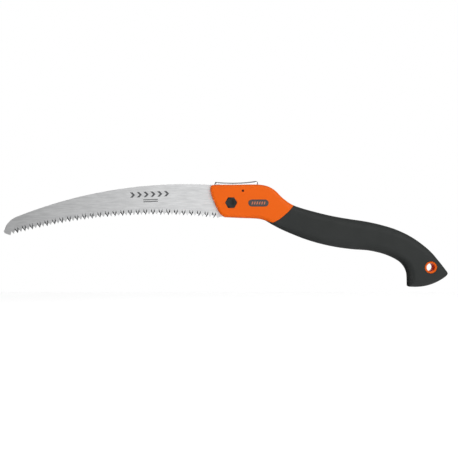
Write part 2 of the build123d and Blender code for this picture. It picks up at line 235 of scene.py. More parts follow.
def patch(bottom, top, left, right, columns, rows):
    """A grid of points that fills four lines: a Coons patch, close-meshed along its edges."""
    u, v = eased(columns), eased(rows)
    bottom, top = along(bottom, u), along(top, u)
    left, right = along(left, v), along(right, v)
    u, v = u[:, None, None], v[None, :, None]
    ruled = (1 - v) * bottom[:, None] + v * top[:, None] + (1 - u) * left[None] + u * right[None]
    corners = (1 - u) * ((1 - v) * bottom[0] + v * top[0]) + u * ((1 - v) * bottom[-1] + v * top[-1])
    return ruled - corners


def distance(points, line):
    """How far each point is from a line."""
    flat = points.reshape(-1, 1, 2)
    start, run = line[:-1], np.diff(line, axis=0)
    share = ((flat - start) * run).sum(2) / np.maximum((run**2).sum(1), 1e-12)
    nearest = start + np.clip(share, 0, 1)[:, :, None] * run
    return np.linalg.norm(flat - nearest, axis=2).min(1).reshape(points.shape[:-1])


def polar(centre, radius, degrees):
    """A point given by its angle about a centre."""
    angle = math.radians(degrees)
    return (centre[0] + radius * math.cos(angle), centre[1] + radius * math.sin(angle))


def turned(point, degrees, about=(0.0, 0.0)):
    """A point turned about another, anticlockwise as the camera sees it."""
    x, z = point[0] - about[0], point[1] - about[1]
    cosine, sine = math.cos(math.radians(degrees)), math.sin(math.radians(degrees))
    return (about[0] + x * cosine - z * sine, about[1] + x * sine + z * cosine)


def circle(centre, diameter, count=48):
    return [polar(centre, diameter / 2, 360 * i / count) for i in range(count)]


def arc_through(start, middle, end, count):
    """Points on the arc through three points, both ends included."""
    (ax, az), (bx, bz), (cx, cz) = start, middle, end
    d = 2 * (ax * (bz - cz) + bx * (cz - az) + cx * (az - bz))
    a2, b2, c2 = ax**2 + az**2, bx**2 + bz**2, cx**2 + cz**2
    centre_x = (a2 * (bz - cz) + b2 * (cz - az) + c2 * (az - bz)) / d
    centre_z = (a2 * (cx - bx) + b2 * (ax - cx) + c2 * (bx - ax)) / d
    radius = math.hypot(ax - centre_x, az - centre_z)
    angles = np.unwrap([math.atan2(z - centre_z, x - centre_x) for x, z in (start, middle, end)])
    return [
        (centre_x + radius * math.cos(a), centre_z + radius * math.sin(a))
        for a in np.linspace(angles[0], angles[2], count)
    ]


def capsule(a, b, width, count=12):
    """A slot with round ends about a and b."""
    heading = math.degrees(math.atan2(b[1] - a[1], b[0] - a[0]))
    half_turn = [180 * i / count for i in range(count + 1)]
    far_end = [polar(b, width / 2, heading - 90 + t) for t in half_turn]
    near_end = [polar(a, width / 2, heading + 90 + t) for t in half_turn]
    return far_end + near_end


def hexagon(centre, across_flats, count=72):
    """A hexagon with corners left and right, with count points round it."""
    points = []
    for i in range(count):
        degrees = 360 * i / count
        radius = across_flats / 2 / math.cos(math.radians(degrees % 60 - 30))
        points.append(polar(centre, radius, degrees))
    return points


# ---------------------------------------------------------------- meshes
SAME = 0.001                # mm; nearer than this is the same place


def piece(name, vertices, faces):
    """A new mesh object with its faces turned outwards."""
    mesh = bpy.data.meshes.new(name)
    mesh.from_pydata(vertices, [], faces)
    made = bmesh.new()
    made.from_mesh(mesh)
    bmesh.ops.recalc_face_normals(made, faces=made.faces)
    made.to_mesh(mesh)
    made.free()
    thing = bpy.data.objects.new(name, mesh)
    bpy.context.scene.collection.objects.link(thing)
    return thing


def loft(name, rings, ring_shaped=False):
    """A skin through rings of equal count, closed by end faces, or joined end to end if ring_shaped."""
    count = len(rings[0])
    vertices = [point for ring in rings for point in ring]
    faces = []
    spans = len(rings) if ring_shaped else len(rings) - 1
    for k in range(spans):
        here, there = k * count, (k + 1) % len(rings) * count
        for i in range(count):
            j = (i + 1) % count
            faces.append((here + i, here + j, there + j, there + i))
    if not ring_shaped:
        faces.append(range(count))
        faces.append(range((len(rings) - 1) * count, len(rings) * count))
    return piece(name, vertices, faces)


def prism(name, outline, y_from, y_to):
    """A side-view outline, carried straight across from one y to another."""
    return loft(name, [[spot(x, z, y) for x, z in outline] for y in (y_from, y_to)])


def stepped(name, sections):
    """A solid through (y, outline) sections."""
    return loft(name, [[spot(x, z, y) for x, z in outline] for y, outline in sections])


def lathe(name, centre, profile, count):
    """A turned ring about a y axis: profile is (radius, y) points."""
    rings = [[spot(*point, y) for point in circle(centre, 2 * radius, count)] for radius, y in profile]
    return loft(name, rings, ring_shaped=True)


def settle(thing):
    """Apply an object's modifiers to its mesh, and close any facet that they lose."""
    depsgraph = bpy.context.evaluated_depsgraph_get()
    mesh = bpy.data.meshes.new_from_object(thing.evaluated_get(depsgraph))
    thing.modifiers.clear()
    made = bmesh.new()
    made.from_mesh(mesh)
    bmesh.ops.holes_fill(made, edges=[edge for edge in made.edges if edge.is_boundary], sides=4)
    made.to_mesh(mesh)
    made.free()
    thing.data = mesh
    return thing


def carve(thing, *tools, operation="DIFFERENCE"):
    """Cut tools out of a piece, or join them to it, and throw the tools away."""
    for tool in tools:
        cut = thing.modifiers.new(tool.name, "BOOLEAN")
        cut.operation = operation
        cut.solver = "EXACT"
        cut.object = tool
        settle(thing)
        bpy.data.objects.remove(tool)
    return thing


def copied(thing, name):
    other = bpy.data.objects.new(name, thing.data.copy())
    other.data.name = name
    bpy.context.scene.collection.objects.link(other)
    return other


def mirrored(thing, name):
    """A copy of a piece on the other side of the handle."""
    other = copied(thing, name)
    made = bmesh.new()
    made.from_mesh(other.data)
    for vertex in made.verts:
        vertex.co.y = -vertex.co.y
    bmesh.ops.reverse_faces(made, faces=made.faces)
    made.to_mesh(other.data)
    made.free()
    return other


def finish_mesh(thing, crease=30):
    """Weld what the cuts left in pieces, and shade it smooth except across creases."""
    made = bmesh.new()
    made.from_mesh(thing.data)
    bmesh.ops.remove_doubles(made, verts=made.verts, dist=2 * SAME * MM)
    bmesh.ops.dissolve_degenerate(made, edges=made.edges, dist=SAME * MM)
    made.to_mesh(thing.data)
    made.free()
    thing.data.shade_smooth()
    thing.data.set_sharp_from_angle(angle=math.radians(crease))


def bevel_edges(thing, width, is_wanted, segments=3):
    """Round the edges whose two ends, in mm from the pivot, both answer is_wanted(x, y, z)."""
    mesh = thing.data
    weights = mesh.attributes.new("bevel_weight_edge", "FLOAT", "EDGE")
    for edge in mesh.edges:
        ends = [(mesh.vertices[v].co - PIVOT) / MM for v in edge.vertices]
        straight_across = abs(ends[0].y - ends[1].y) > SAME
        if not straight_across and all(is_wanted(*end) for end in ends):
            weights.data[edge.index].value = 1.0
    bevel = thing.modifiers.new("rounding", "BEVEL")
    bevel.limit_method = "WEIGHT"
    bevel.width = width * MM
    bevel.segments = segments
    return settle(thing)


# ---------------------------------------------------------------- materials
class Look:
    """A procedural material built on one Principled shader. Lengths are in metres in the row frame."""

    def __init__(self, name, color, roughness, metallic=0.0):
        self.material = bpy.data.materials.new(name)
        self.material.use_nodes = True
        self.nodes = self.material.node_tree.nodes
        self.links = self.material.node_tree.links
        self.shader = self.nodes["Principled BSDF"]
        self.color = color
        self.shader.inputs["Base Color"].default_value = (*color, 1.0)
        self.shader.inputs["Roughness"].default_value = roughness
        self.shader.inputs["Metallic"].default_value = metallic
        self.place = self.nodes.new("ShaderNodeTexCoord").outputs["Object"]

    def set(self, **values):
        """Uniform values on the shader's own sockets, whose names have _ for each space here."""
        for name, value in values.items():
            self.shader.inputs[name.replace("_", " ")].default_value = value

    def noise(self, scale, stretch=(1.0, 1.0, 1.0), detail=4.0, roughness=0.55):
        """Noise with about scale cells a metre, drawn out along an axis whose stretch is under 1."""
        mapping = self.nodes.new("ShaderNodeMapping")
        mapping.inputs["Scale"].default_value = stretch
        self.links.new(self.place, mapping.inputs["Vector"])
        texture = self.nodes.new("ShaderNodeTexNoise")
        texture.inputs["Scale"].default_value = scale
        texture.inputs["Detail"].default_value = detail
        texture.inputs["Roughness"].default_value = roughness
        self.links.new(mapping.outputs["Vector"], texture.inputs["Vector"])
        return texture.outputs["Fac"]

    def edges(self):
        """Geometry's pointiness: above a half on outer edges, below it in corners."""
        return self.nodes.new("ShaderNodeNewGeometry").outputs["Pointiness"]

    def spread(self, value, low, high, start=0.3, end=0.7):
        """A value from start to end, mapped onto low to high."""
        remap = self.nodes.new("ShaderNodeMapRange")
        for name, number in (("From Min", start), ("From Max", end), ("To Min", low), ("To Max", high)):
            remap.inputs[name].default_value = number
        self.links.new(value, remap.inputs["Value"])
        return remap.outputs["Result"]

    def tint(self, factor, color):
        """Mix another colour over the base colour, by factor."""
        mix = self.nodes.new("ShaderNodeMix")
        mix.data_type = "RGBA"
        base = self.shader.inputs["Base Color"]
        if base.is_linked:
            self.links.new(base.links[0].from_socket, mix.inputs["A"])
        else:
            mix.inputs["A"].default_value = (*self.color, 1.0)
        mix.inputs["B"].default_value = (*color, 1.0)
        self.links.new(factor, mix.inputs["Factor"])
        self.links.new(mix.outputs["Result"], base)

    def rough(self, value):
        self.links.new(value, self.shader.inputs["Roughness"])

    def bump(self, height, depth, strength=1.0):
        """Relief from a 0 to 1 height, depth metres deep, over any relief already there."""
        bump = self.nodes.new("ShaderNodeBump")
        bump.inputs["Distance"].default_value = depth
        bump.inputs["Strength"].default_value = strength
        self.links.new(height, bump.inputs["Height"])
        normal = self.shader.inputs["Normal"]
        if normal.is_linked:
            self.links.new(normal.links[0].from_socket, bump.inputs["Normal"])
        self.links.new(bump.outputs["Normal"], normal)


def orange_plastic():
    """Moulded glass-filled plastic: fine spark-eroded stipple, faint flow marks, edges rubbed paler."""
    look = Look("orange_plastic", (0.96, 0.146, 0.005), 0.42)
    look.set(IOR=1.5, Specular_IOR_Level=0.13)
    flow = look.noise(38, stretch=(0.5, 1, 1.3), detail=3)
    look.tint(look.spread(flow, 0.0, 0.35), (0.88, 0.125, 0.004))
    look.tint(look.spread(look.edges(), 0.0, 0.25, 0.52, 0.60), (0.95, 0.22, 0.03))
    look.rough(look.spread(look.noise(900, detail=3), 0.36, 0.50))
    look.bump(look.noise(2600, detail=2), 0.00003, 0.5)
    look.bump(look.noise(60, detail=2), 0.00022, 0.12)
    return look.material


def black_rubber():
    """Soft moulded grip: matte, finely pebbled, with dust in the grain and a polish where it is held."""
    look = Look("black_rubber", (0.030, 0.033, 0.032), 0.6)
    look.set(IOR=1.5, Specular_IOR_Level=0.24)
    look.tint(look.spread(look.noise(55, detail=5), 0.0, 0.35, 0.4, 0.75), (0.040, 0.042, 0.040))
    look.tint(look.spread(look.edges(), 0.0, 0.3, 0.52, 0.60), (0.045, 0.047, 0.046))
    look.rough(look.spread(look.noise(45, detail=3), 0.54, 0.70))
    look.bump(look.noise(1500, detail=2), 0.00006, 0.5)
    look.bump(look.noise(3600, detail=1), 0.00002, 0.4)
    return look.material


def blade_steel():
    """Ground strip: long fine scratches the length of the blade, clouded by polishing and handling."""
    look = Look("blade_steel", (0.82, 0.825, 0.83), 0.33, metallic=1.0)
    grain = look.noise(1100, stretch=(0.09, 1, 1), detail=5, roughness=0.65)
    streaks = look.noise(420, stretch=(0.22, 1, 1), detail=4)
    clouds = look.noise(34, stretch=(0.5, 1, 1), detail=3)
    look.tint(look.spread(grain, 0.0, 0.55), (0.50, 0.505, 0.51))
    look.tint(look.spread(streaks, 0.0, 0.40, 0.42, 0.66), (0.58, 0.585, 0.59))
    look.rough(look.spread(clouds, 0.29, 0.38))
    look.bump(grain, 0.000012, 0.6)
    return look.material


def tooth_hardening_and_painted_shade():
    """Ground and impulse-hardened tooth faces: darker, partly the hardening's own colour and partly painted
    shade on the angled faces, with the wheel's marks across them.
    """
    look = Look("tooth_hardening_and_painted_shade", (0.34, 0.345, 0.35), 0.34, metallic=1.0)
    marks = look.noise(2600, stretch=(1, 1, 0.12), detail=3)
    look.tint(look.spread(marks, 0.0, 0.45), (0.20, 0.205, 0.22))
    look.rough(look.spread(look.noise(500, detail=3), 0.28, 0.42))
    look.bump(marks, 0.00001, 0.5)
    return look.material


def plated_steel():
    """Bright zinc plate on pressed sheet: soft ripple, faint drawing lines, duller where it is thumbed."""
    look = Look("plated_steel", (0.90, 0.905, 0.91), 0.2, metallic=1.0)
    lines = look.noise(700, stretch=(0.04, 1, 1), detail=4)
    look.tint(look.spread(look.noise(120, detail=4), 0.0, 0.25, 0.45, 0.7), (0.72, 0.73, 0.75))
    look.rough(look.spread(look.noise(160, detail=4), 0.16, 0.30))
    look.bump(lines, 0.000008, 0.4)
    look.bump(look.noise(90, detail=2), 0.00005, 0.15)
    return look.material


def brushed_steel_painted_shade():
    """A darker copy of the plate, painted shade on the lever's top, bends and edges: brushed along the
    lever, greyer, patchy.
    """
    look = Look("brushed_steel_painted_shade", (0.40, 0.403, 0.408), 0.34, metallic=1.0)
    lines = look.noise(1400, stretch=(0.05, 1, 1), detail=4)
    look.tint(look.spread(lines, 0.0, 0.5), (0.26, 0.263, 0.268))
    look.rough(look.spread(look.noise(300, detail=4), 0.28, 0.42))
    look.bump(lines, 0.00001, 0.5)
    return look.material


def plain_steel():
    """Drawn and ground small steel: fine scratches and a thin film of oil."""
    look = Look("plain_steel", (0.56, 0.565, 0.57), 0.32, metallic=1.0)
    look.tint(look.spread(look.noise(420, detail=4), 0.0, 0.4), (0.40, 0.40, 0.395))
    look.rough(look.spread(look.noise(700, detail=3), 0.26, 0.42))
    look.bump(look.noise(2400, stretch=(1, 0.15, 1), detail=3), 0.00001, 0.5)
    return look.material


def black_oxide():
    """Blacked steel: near black, oily, worn to grey on the corners that a spanner touches."""
    look = Look("black_oxide", (0.018, 0.021, 0.020), 0.42, metallic=0.5)
    look.tint(look.spread(look.noise(260, detail=5), 0.0, 0.5, 0.42, 0.75), (0.045, 0.049, 0.047))
    look.tint(look.spread(look.edges(), 0.0, 0.5, 0.55, 0.65), (0.12, 0.125, 0.125))
    look.rough(look.spread(look.noise(500, detail=3), 0.34, 0.52))
    look.bump(look.noise(1600, detail=3), 0.00003, 0.5)
    return look.material


def washer_plastic():
    """Natural acetal: off-white, slightly waxy."""
    look = Look("washer_plastic", (0.78, 0.77, 0.72), 0.38)
    look.tint(look.spread(look.noise(300, detail=3), 0.0, 0.3), (0.66, 0.64, 0.57))
    look.rough(look.spread(look.noise(800, detail=2), 0.32, 0.46))
    look.bump(look.noise(2000, detail=2), 0.00002, 0.4)
    return look.material


def badge_plastic():
    """Dark grey moulded inlay with a fine satin stipple."""
    look = Look("badge_plastic", (0.055, 0.058, 0.060), 0.45)
    look.tint(look.spread(look.noise(500, detail=4), 0.0, 0.4), (0.075, 0.078, 0.080))
    look.rough(look.spread(look.noise(1200, detail=2), 0.38, 0.52))
    look.bump(look.noise(3200, detail=2), 0.00002, 0.5)
    return look.material


def badge_paint():
    """Orange pad-printed on the badge's raised bars, thin at the edges."""
    look = Look("badge_paint", (0.70, 0.20, 0.09), 0.5)
    look.tint(look.spread(look.noise(1500, detail=4), 0.0, 0.5, 0.45, 0.7), (0.40, 0.16, 0.10))
    look.rough(look.spread(look.noise(900, detail=2), 0.44, 0.58))
    look.bump(look.noise(2500, detail=2), 0.00002, 0.4)
    return look.material


def etched_steel():
    """Laser-darkened steel, the blade's grain still showing through."""
    look = Look("etched_steel", (0.11, 0.113, 0.118), 0.45, metallic=0.7)
    look.tint(look.spread(look.noise(900, stretch=(0.02, 1, 1), detail=4), 0.0, 0.5), (0.19, 0.19, 0.195))
    look.rough(look.spread(look.noise(900, detail=3), 0.38, 0.55))
    look.bump(look.noise(2600, detail=2), 0.00001, 0.5)
    return look.material


ORANGE = orange_plastic()
RUBBER = black_rubber()
BLADE_STEEL = blade_steel()
TOOTH_HARDENING_AND_PAINTED_SHADE = tooth_hardening_and_painted_shade()
PLATED = plated_steel()
BRUSHED_PAINTED_SHADE = brushed_steel_painted_shade()
STEEL = plain_steel()
BLACK = black_oxide()
ACETAL = washer_plastic()
BADGE_GREY = badge_plastic()
BADGE_PAINT = badge_paint()
ETCHED = etched_steel()


def fit(thing, body, slot, nodes, *materials):
    """Give a finished piece its materials and its body, and hide the CAD nodes that it stands for; slot is
    not used.
    """
    if not thing.data.materials:
        for material in materials:
            thing.data.materials.append(material)
    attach(thing, body)
    if nodes:
        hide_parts(*nodes)


# ---------------------------------------------------------------- handle
top_line = smooth(CASE_TOP + GRIP_TOP)
bottom_line = smooth(CASE_BOTTOM + GRIP_BOTTOM)
nose_line = smooth(NOSE)
butt_line = smooth(BUTT)
seam_line = smooth(SEAM)
underlap_line = smooth(UNDERLAP)
OUTLINE = np.vstack([bottom_line, butt_line[1:], top_line[::-1][1:], nose_line[::-1][1:]])
SEAM_LINE = np.vstack([underlap_line, seam_line[1:]])


def split(line, point):
    """The two parts of a line, before and after its sample nearest to a point."""
    k = int(np.argmin(np.linalg.norm(line - np.array(point), axis=1)))
    return line[:k + 1], line[k:]


def half_width(x):
    """Half of the handle's width at x: flat casing, full grip, narrower butt."""
    swell = np.clip((x - FLAT_TO) / (WIDEST_AT - FLAT_TO), 0, 1)
    taper = np.clip((x - WIDEST_AT) / (BUTT_END - WIDEST_AT), 0, 1)
    swell, taper = (t * t * (3 - 2 * t) for t in (swell, taper))
    return CASE_HALF + (GRIP_HALF - CASE_HALF) * swell - (GRIP_HALF - BUTT_HALF) * taper


def rounded(depth, radius):
    """How far a quarter-round edge has dropped at this depth in from it."""
    inside = radius - np.minimum(depth, radius)
    return radius - np.sqrt(radius**2 - inside**2)


def half_solid(name, grid):
    """A moulding's left half and its overrun, with its edges rounded; grid is its side view."""
    columns, rows = grid.shape[:2]
    depth = distance(grid, OUTLINE)
    from_seam = distance(grid, SEAM_LINE)
    radius = np.interp(grid[..., 0], EDGE_AT, EDGE_RADIUS)
    reach = 1 - np.minimum(depth / CROWN_REACH, 1)
    height = half_width(grid[..., 0]) - rounded(depth, radius) - rounded(from_seam, SEAM_RADIUS)
    height -= CROWN * reach**2
    vertices = [spot(*grid[i, j], FRONT * height[i, j]) for i in range(columns) for j in range(rows)]
    faces = [
        (i * rows + j, (i + 1) * rows + j, (i + 1) * rows + j + 1, i * rows + j + 1)
        for i in range(columns - 1) for j in range(rows - 1)
    ]
    border = [(i, 0) for i in range(columns)] + [(columns - 1, j) for j in range(1, rows)]
    border += [(i, rows - 1) for i in range(columns - 2, -1, -1)] + [(0, j) for j in range(rows - 2, 0, -1)]
    first = len(vertices)
    vertices += [spot(*grid[i, j], -FRONT * OVERRUN) for i, j in border]
    for k, (i, j) in enumerate(border):
        m = (k + 1) % len(border)
        next_i, next_j = border[m]
        faces.append((i * rows + j, next_i * rows + next_j, first + m, first + k))
    faces.append(range(first, len(vertices)))
    return piece(name, vertices, faces)


def core_tool(name):
    """The left half of the core, and more beyond the plane where the two halves meet."""
    back, butt, belly = smooth(CORE_BACK), smooth(CORE_BUTT), smooth(CORE_BELLY)
    outline = np.vstack([back, butt[1:], CORE_HOOK, belly, CORE_NECK])
    return prism(name, outline, FRONT * CORE_W / 2, -FRONT * 2 * OVERRUN)


def far_side(name):
    """Everything on the right of the plane where the two halves meet."""
    return prism(name, AROUND, FRONT * PARTING, -FRONT * 5 * OVERRUN)


def slot_tool(name):
    """The slot for the blade: everything beyond the roof's arc, away from the handle's back."""
    centre = turned(TOOTH_C, FOLD)
    roof = []
    for x in np.linspace(SLOT_TO, SLOT_FROM, 60):
        roof.append((x, centre[1] - math.sqrt(ROOF_R**2 - (x - centre[0]) ** 2)))
    bottom = [(SLOT_FROM, SLOT_BOTTOM), (SLOT_TO, SLOT_BOTTOM)]
    return prism(name, roof + bottom, -SLOT_W / 2, SLOT_W / 2)


def left_bore(name, centre, diameter, count=48):
    """A round hole right through a left half."""
    return prism(name, circle(centre, diameter, count), FRONT * OUTSIDE, -FRONT * OVERRUN)


def well_cut(name, centre, diameter, floor):
    """A round well from the handle's right side down to its floor."""
    return prism(name, circle(centre, diameter), floor, OUTSIDE)


case_top, grip_top = split(top_line, SEAM[-1])
case_bottom, grip_bottom = split(bottom_line, UNDERLAP[0])
case_bottom = np.vstack([case_bottom, underlap_line[1:]])
case_grid = patch(case_bottom, case_top, nose_line, seam_line, *CASE_MESH)
grip_grid = patch(grip_bottom, grip_top, SEAM_LINE, butt_line, *GRIP_MESH)

half_shell = half_solid("half_shell", case_grid)
carve(half_shell, core_tool("core"), operation="UNION")
badge_ends = [(BADGE[0] + s * (BADGE_L - BADGE_H) / 2, BADGE[1]) for s in (-1, 1)]
carve(
    half_shell,
    far_side("far_side"),
    slot_tool("slot"),
    prism("lever_well", LEVER_WELL, -WELL_W / 2, WELL_W / 2),
    prism("badge_well", capsule(*badge_ends, BADGE_H), FRONT * (CASE_HALF - BADGE_DEPTH), FRONT * OUTSIDE),
    left_bore("pin_hole", LEVER_PIN, LEVER_PIN_D, PIN_SIDES),
    left_bore("bolt_bore", (0, 0), BOLT_D),
    left_bore("eyelet_bore", HANG_HOLE, EYELET_D, EYELET_SIDES),
)
right_shell = mirrored(half_shell, "right_casing")
left_shell = copied(half_shell, "left_casing")
bpy.data.objects.remove(half_shell)
HEX_WELL = HEX_AF + 0.2
HEX_RIM = 0.35
carve(left_shell, stepped("hex_well", [
    (HEAD_SEAT, hexagon((0, 0), HEX_WELL)),
    (FRONT * CASE_HALF + HEX_RIM, hexagon((0, 0), HEX_WELL)),
    (FRONT * CASE_HALF, hexagon((0, 0), HEX_WELL + 2 * HEX_RIM)),
    (FRONT * OUTSIDE, hexagon((0, 0), HEX_WELL + 2 * HEX_RIM)),
]))
carve(
    right_shell,
    well_cut("nut_well", (0, 0), NUT_WELL_D, NUT_WELL_FLOOR),
    *[well_cut("screw_well", screw, SCREW_WELL_D, SCREW_SEAT) for screw in SCREWS],
)

left_grip = half_solid("left_grip_rubber", grip_grid)
carve(
    left_grip,
    core_tool("core"),
    far_side("far_side"),
    slot_tool("slot"),
    left_bore("eyelet_bore", HANG_HOLE, EYELET_D, EYELET_SIDES),
)
right_grip = mirrored(left_grip, "right_grip_rubber")
carve(right_grip, *[well_cut("screw_well", screw, SCREW_WELL_D, SCREW_SEAT) for screw in SCREWS[1:]])

for half, node in ((left_shell, "left_shell"), (right_shell, "right_shell")):
    finish_mesh(half)
    fit(half, "handle", "orange_plastic", [node], ORANGE)
for half, node in ((left_grip, "left_grip"), (right_grip, "right_grip")):
    finish_mesh(half)
    fit(half, "handle", "black_rubber", [node], RUBBER)

# ---------------------------------------------------------------- hang-hole eyelets
LIP = 0.7
EYELET_ROOM = 0.02
inner, outer, shoulder = HANG_HOLE_D / 2, EYELET_D / 2 - EYELET_ROOM, EYELET_FACE - LIP
lip_turn = np.radians([0, 22.5, 45, 67.5, 90])
profile = [(inner, SLOT_W / 2)]
profile += [(inner + LIP - LIP * math.cos(a), shoulder + LIP * math.sin(a)) for a in lip_turn]
profile += [(outer - LIP + LIP * math.sin(a), shoulder + LIP * math.cos(a)) for a in lip_turn]
profile += [(outer, SLOT_W / 2)]
for name, side in (("left_eyelet", FRONT), ("right_eyelet", -FRONT)):
    eyelet = lathe(name + "_ring", HANG_HOLE, [(radius, side * y) for radius, y in profile], EYELET_SIDES)
    finish_mesh(eyelet)
    fit(eyelet, "handle", "orange_plastic", [name], ORANGE)

# ---------------------------------------------------------------- badges
# the plate's sections: depth below the casing's face, and how much less wide than its recess
BADGE_STEPS = [(BADGE_DEPTH - 0.02, 0.1), (0.25, 0.1), (0.04, 0.35), (0.01, 0.6), (0.01, 1.4), (0.14, 1.7)]
BAR_FOOT = 0.2
BAR_TOP = 0.03
BAR_EDGE = 0.06
BAR = [(-0.95, -1.4), (0.15, -1.4), (0.95, 1.4), (-0.15, 1.4)]
BARS = 6
BAR_PITCH = 2.35
for name, side in (("left_badge", FRONT), ("right_badge", -FRONT)):
    plate = stepped(name + "_plate", [
        (side * (CASE_HALF - depth), capsule(*badge_ends, BADGE_H - less)) for depth, less in BADGE_STEPS
    ])
    finish_mesh(plate)
    fit(plate, "handle", "badge_plastic", [name], BADGE_GREY)
    for k in range(BARS):
        start = BADGE[0] + (k - (BARS - 1) / 2) * BAR_PITCH
        raised = [(start + x, BADGE[1] + z) for x, z in BAR]
        foot, top = side * (CASE_HALF - BAR_FOOT), side * (CASE_HALF - BAR_TOP)
        bar = prism(f"{name}_bar_{k + 1}", raised, foot, top)
        bevel_edges(bar, BAR_EDGE, lambda x, y, z: abs(y) > CASE_HALF - BAR_FOOT / 2, segments=2)
        finish_mesh(bar)
        fit(bar, "handle", "badge_plastic", [], BADGE_PAINT)

# ---------------------------------------------------------------- bolt and nut
CONE = math.tan(math.radians(30))
CHAMFER_START = HEX_AF / 2 - 0.35       # radius of a hexagon's round top face


def hex_section(y_top, away):
    """The chamfered corner line of a hexagon: lower towards its corners, away from the top face."""
    ring = []
    for x, z in hexagon((0, 0), HEX_AF):
        drop = (math.hypot(x, z) - CHAMFER_START) * CONE
        ring.append(spot(x, z, y_top + away * drop))
    return ring


def round_section(diameter, y):
    return [spot(x, z, y) for x, z in circle((0, 0), diameter, 72)]


# the dish in the forged head: diameter, and depth there
HEAD_DISH = [(2.2, 0.22), (3.4, 0.20), (4.6, 0.0)]
BOLT_END = -HEAD_TOP - 0.3
BOLT_CHAMFER = 0.5
bolt = loft("pivot_bolt_hex", [
    *[round_section(diameter, HEAD_TOP + depth) for diameter, depth in HEAD_DISH],
    round_section(2 * CHAMFER_START, HEAD_TOP),
    hex_section(HEAD_TOP, 1),
    [spot(x, z, HEAD_SEAT) for x, z in hexagon((0, 0), HEX_AF)],
    round_section(BOLT_D, HEAD_SEAT),
    round_section(BOLT_D, BOLT_END - BOLT_CHAMFER),
    round_section(BOLT_D - 2 * BOLT_CHAMFER, BOLT_END),
])
finish_mesh(bolt, 20)
fit(bolt, "handle", "black_oxide", ["pivot_bolt"], BLACK)

NUT_BORE = BOLT_D + 0.04
NUT_CHAMFER = 0.4
nut = loft("pivot_nut_hex", [
    round_section(NUT_BORE, NUT_SEAT),
    [spot(x, z, NUT_SEAT) for x, z in hexagon((0, 0), HEX_AF)],
    hex_section(NUT_TOP, -1),
    round_section(2 * CHAMFER_START, NUT_TOP),
    round_section(NUT_BORE + 2 * NUT_CHAMFER, NUT_TOP),
    round_section(NUT_BORE, NUT_TOP - NUT_CHAMFER),
], ring_shaped=True)
finish_mesh(nut, 20)
fit(nut, "handle", "black_oxide", ["pivot_nut"], BLACK)


# ---------------------------------------------------------------- blade
def on_spine(x):
    return (x, SPINE_C[1] + math.sqrt(SPINE_R**2 - (x - SPINE_C[0]) ** 2))


def blade_body():
    """The blade's outline without its teeth, from the heel round the root and back to the toe."""
    flat_end = math.degrees(math.asin(TANG_FLAT / TANG_R))
    rim = [polar((0, 0), TANG_R, angle) for angle in np.linspace(flat_end, SHOULDER, 48)]
    spine = [on_spine(x) for x in np.linspace(SPINE_FROM, SPINE_TO, 56)]
    toe = smooth([spine[-2], spine[-1], *TOE], 6)[6:]
    tang = [(TANG_FLAT_FROM, TANG_FLAT), *rim, TANG_CORNER]
    return [HEEL, *tang, *spine, *map(tuple, toe[1:]), TOE_CORNER]


def blade_mesh(name):
    """The blade with its teeth ground in turn from the front and from the back."""
    pitch = (TOOTH_TO - TOOTH_FROM) / (TEETH - 1)
    half = BLADE_T / 2
    vertices = []
    ground = []

    def vertex(point, y):
        vertices.append(spot(*point, y))
        return len(vertices) - 1

    def tooth_point(place, depth):
        return polar(TOOTH_C, TOOTH_R + depth, TOOTH_FROM + pitch * place)

    gullets = [TOE_CORNER] + [tooth_point(i + 0.5, TOOTH_DEPTH) for i in range(TEETH - 1)] + [HEEL]
    low = {y: [vertex(point, y) for point in gullets] for y in (-half, half)}

    # the toe's own tooth is square across; the rest are ground to a point on one face
    first_tip = {y: vertex(tooth_point(0, 0.0), y) for y in (-half, half)}
    faces_line = {y: [low[y][0], first_tip[y], low[y][1]] for y in (-half, half)}
    for i in range(1, TEETH):
        ground_y, sharp_y = (-half, half) if i % 2 == 0 else (half, -half)
        tip = vertex(tooth_point(i, 0.0 if i % 2 == 0 else ODD_SHORT), sharp_y)
        fork = vertex(tooth_point(i, FACET_DEPTH), ground_y)
        tops = [vertex(tooth_point(i + side * GROUND_AT, GROUND_DEPTH), ground_y) for side in (-1, 1)]
        faces_line[sharp_y] += [tip, low[sharp_y][i + 1]]
        faces_line[ground_y] += [tops[0], fork, tops[1], low[ground_y][i + 1]]
        for top, k in zip(tops, (i, i + 1)):
            ground += [
                (top, low[sharp_y][k], tip),
                (top, tip, fork),
                (top, low[ground_y][k], low[sharp_y][k]),
            ]
    body = blade_body()
    back = {y: [vertex(point, y) for point in body[1:-1]] for y in (-half, half)}
    rows = {y: [low[y][-1]] + back[y] + faces_line[y][:3] for y in (-half, half)}
    walls = [
        (rows[-half][k], rows[-half][k + 1], rows[half][k + 1], rows[half][k])
        for k in range(len(rows[half]) - 1)
    ]
    broad = [faces_line[y] + back[y] for y in (-half, half)]
    made = piece(name, vertices, broad + walls + ground)
    made.data.materials.append(BLADE_STEEL)
    made.data.materials.append(TOOTH_HARDENING_AND_PAINTED_SHADE)
    # the ground faces get the darker tooth steel: partly hardened colour, partly painted shade
    for polygon in made.data.polygons[len(broad) + len(walls):]:
        polygon.material_index = 1
    return made


blade = blade_mesh("blade_plate")
BLADE_EDGE = 0.15
body_points = {(round(x, 3), round(z, 3)) for x, z in blade_body()[1:-1]}
bevel_edges(blade, BLADE_EDGE, lambda x, y, z: (round(x, 3), round(z, 3)) in body_points, segments=2)
engaged = turned(LOCK_PIN, ENGAGE, about=LEVER_PIN)
mouth = (engaged[0] + NOTCH_LEAN, engaged[1] + NOTCH_DEPTH)
notches = [capsule(turned(engaged, angle), turned(mouth, angle), NOTCH_W) for angle in (0, -FOLD)]
carve(
    blade,
    prism("bush_hole", circle((0, 0), BUSH_HOLE_D), -BLADE_T, BLADE_T),
    *[prism("notch", outline, -BLADE_T, BLADE_T) for outline in notches],
)
finish_mesh(blade, 12)
fit(blade, "blade", "blade_steel", ["blade"])

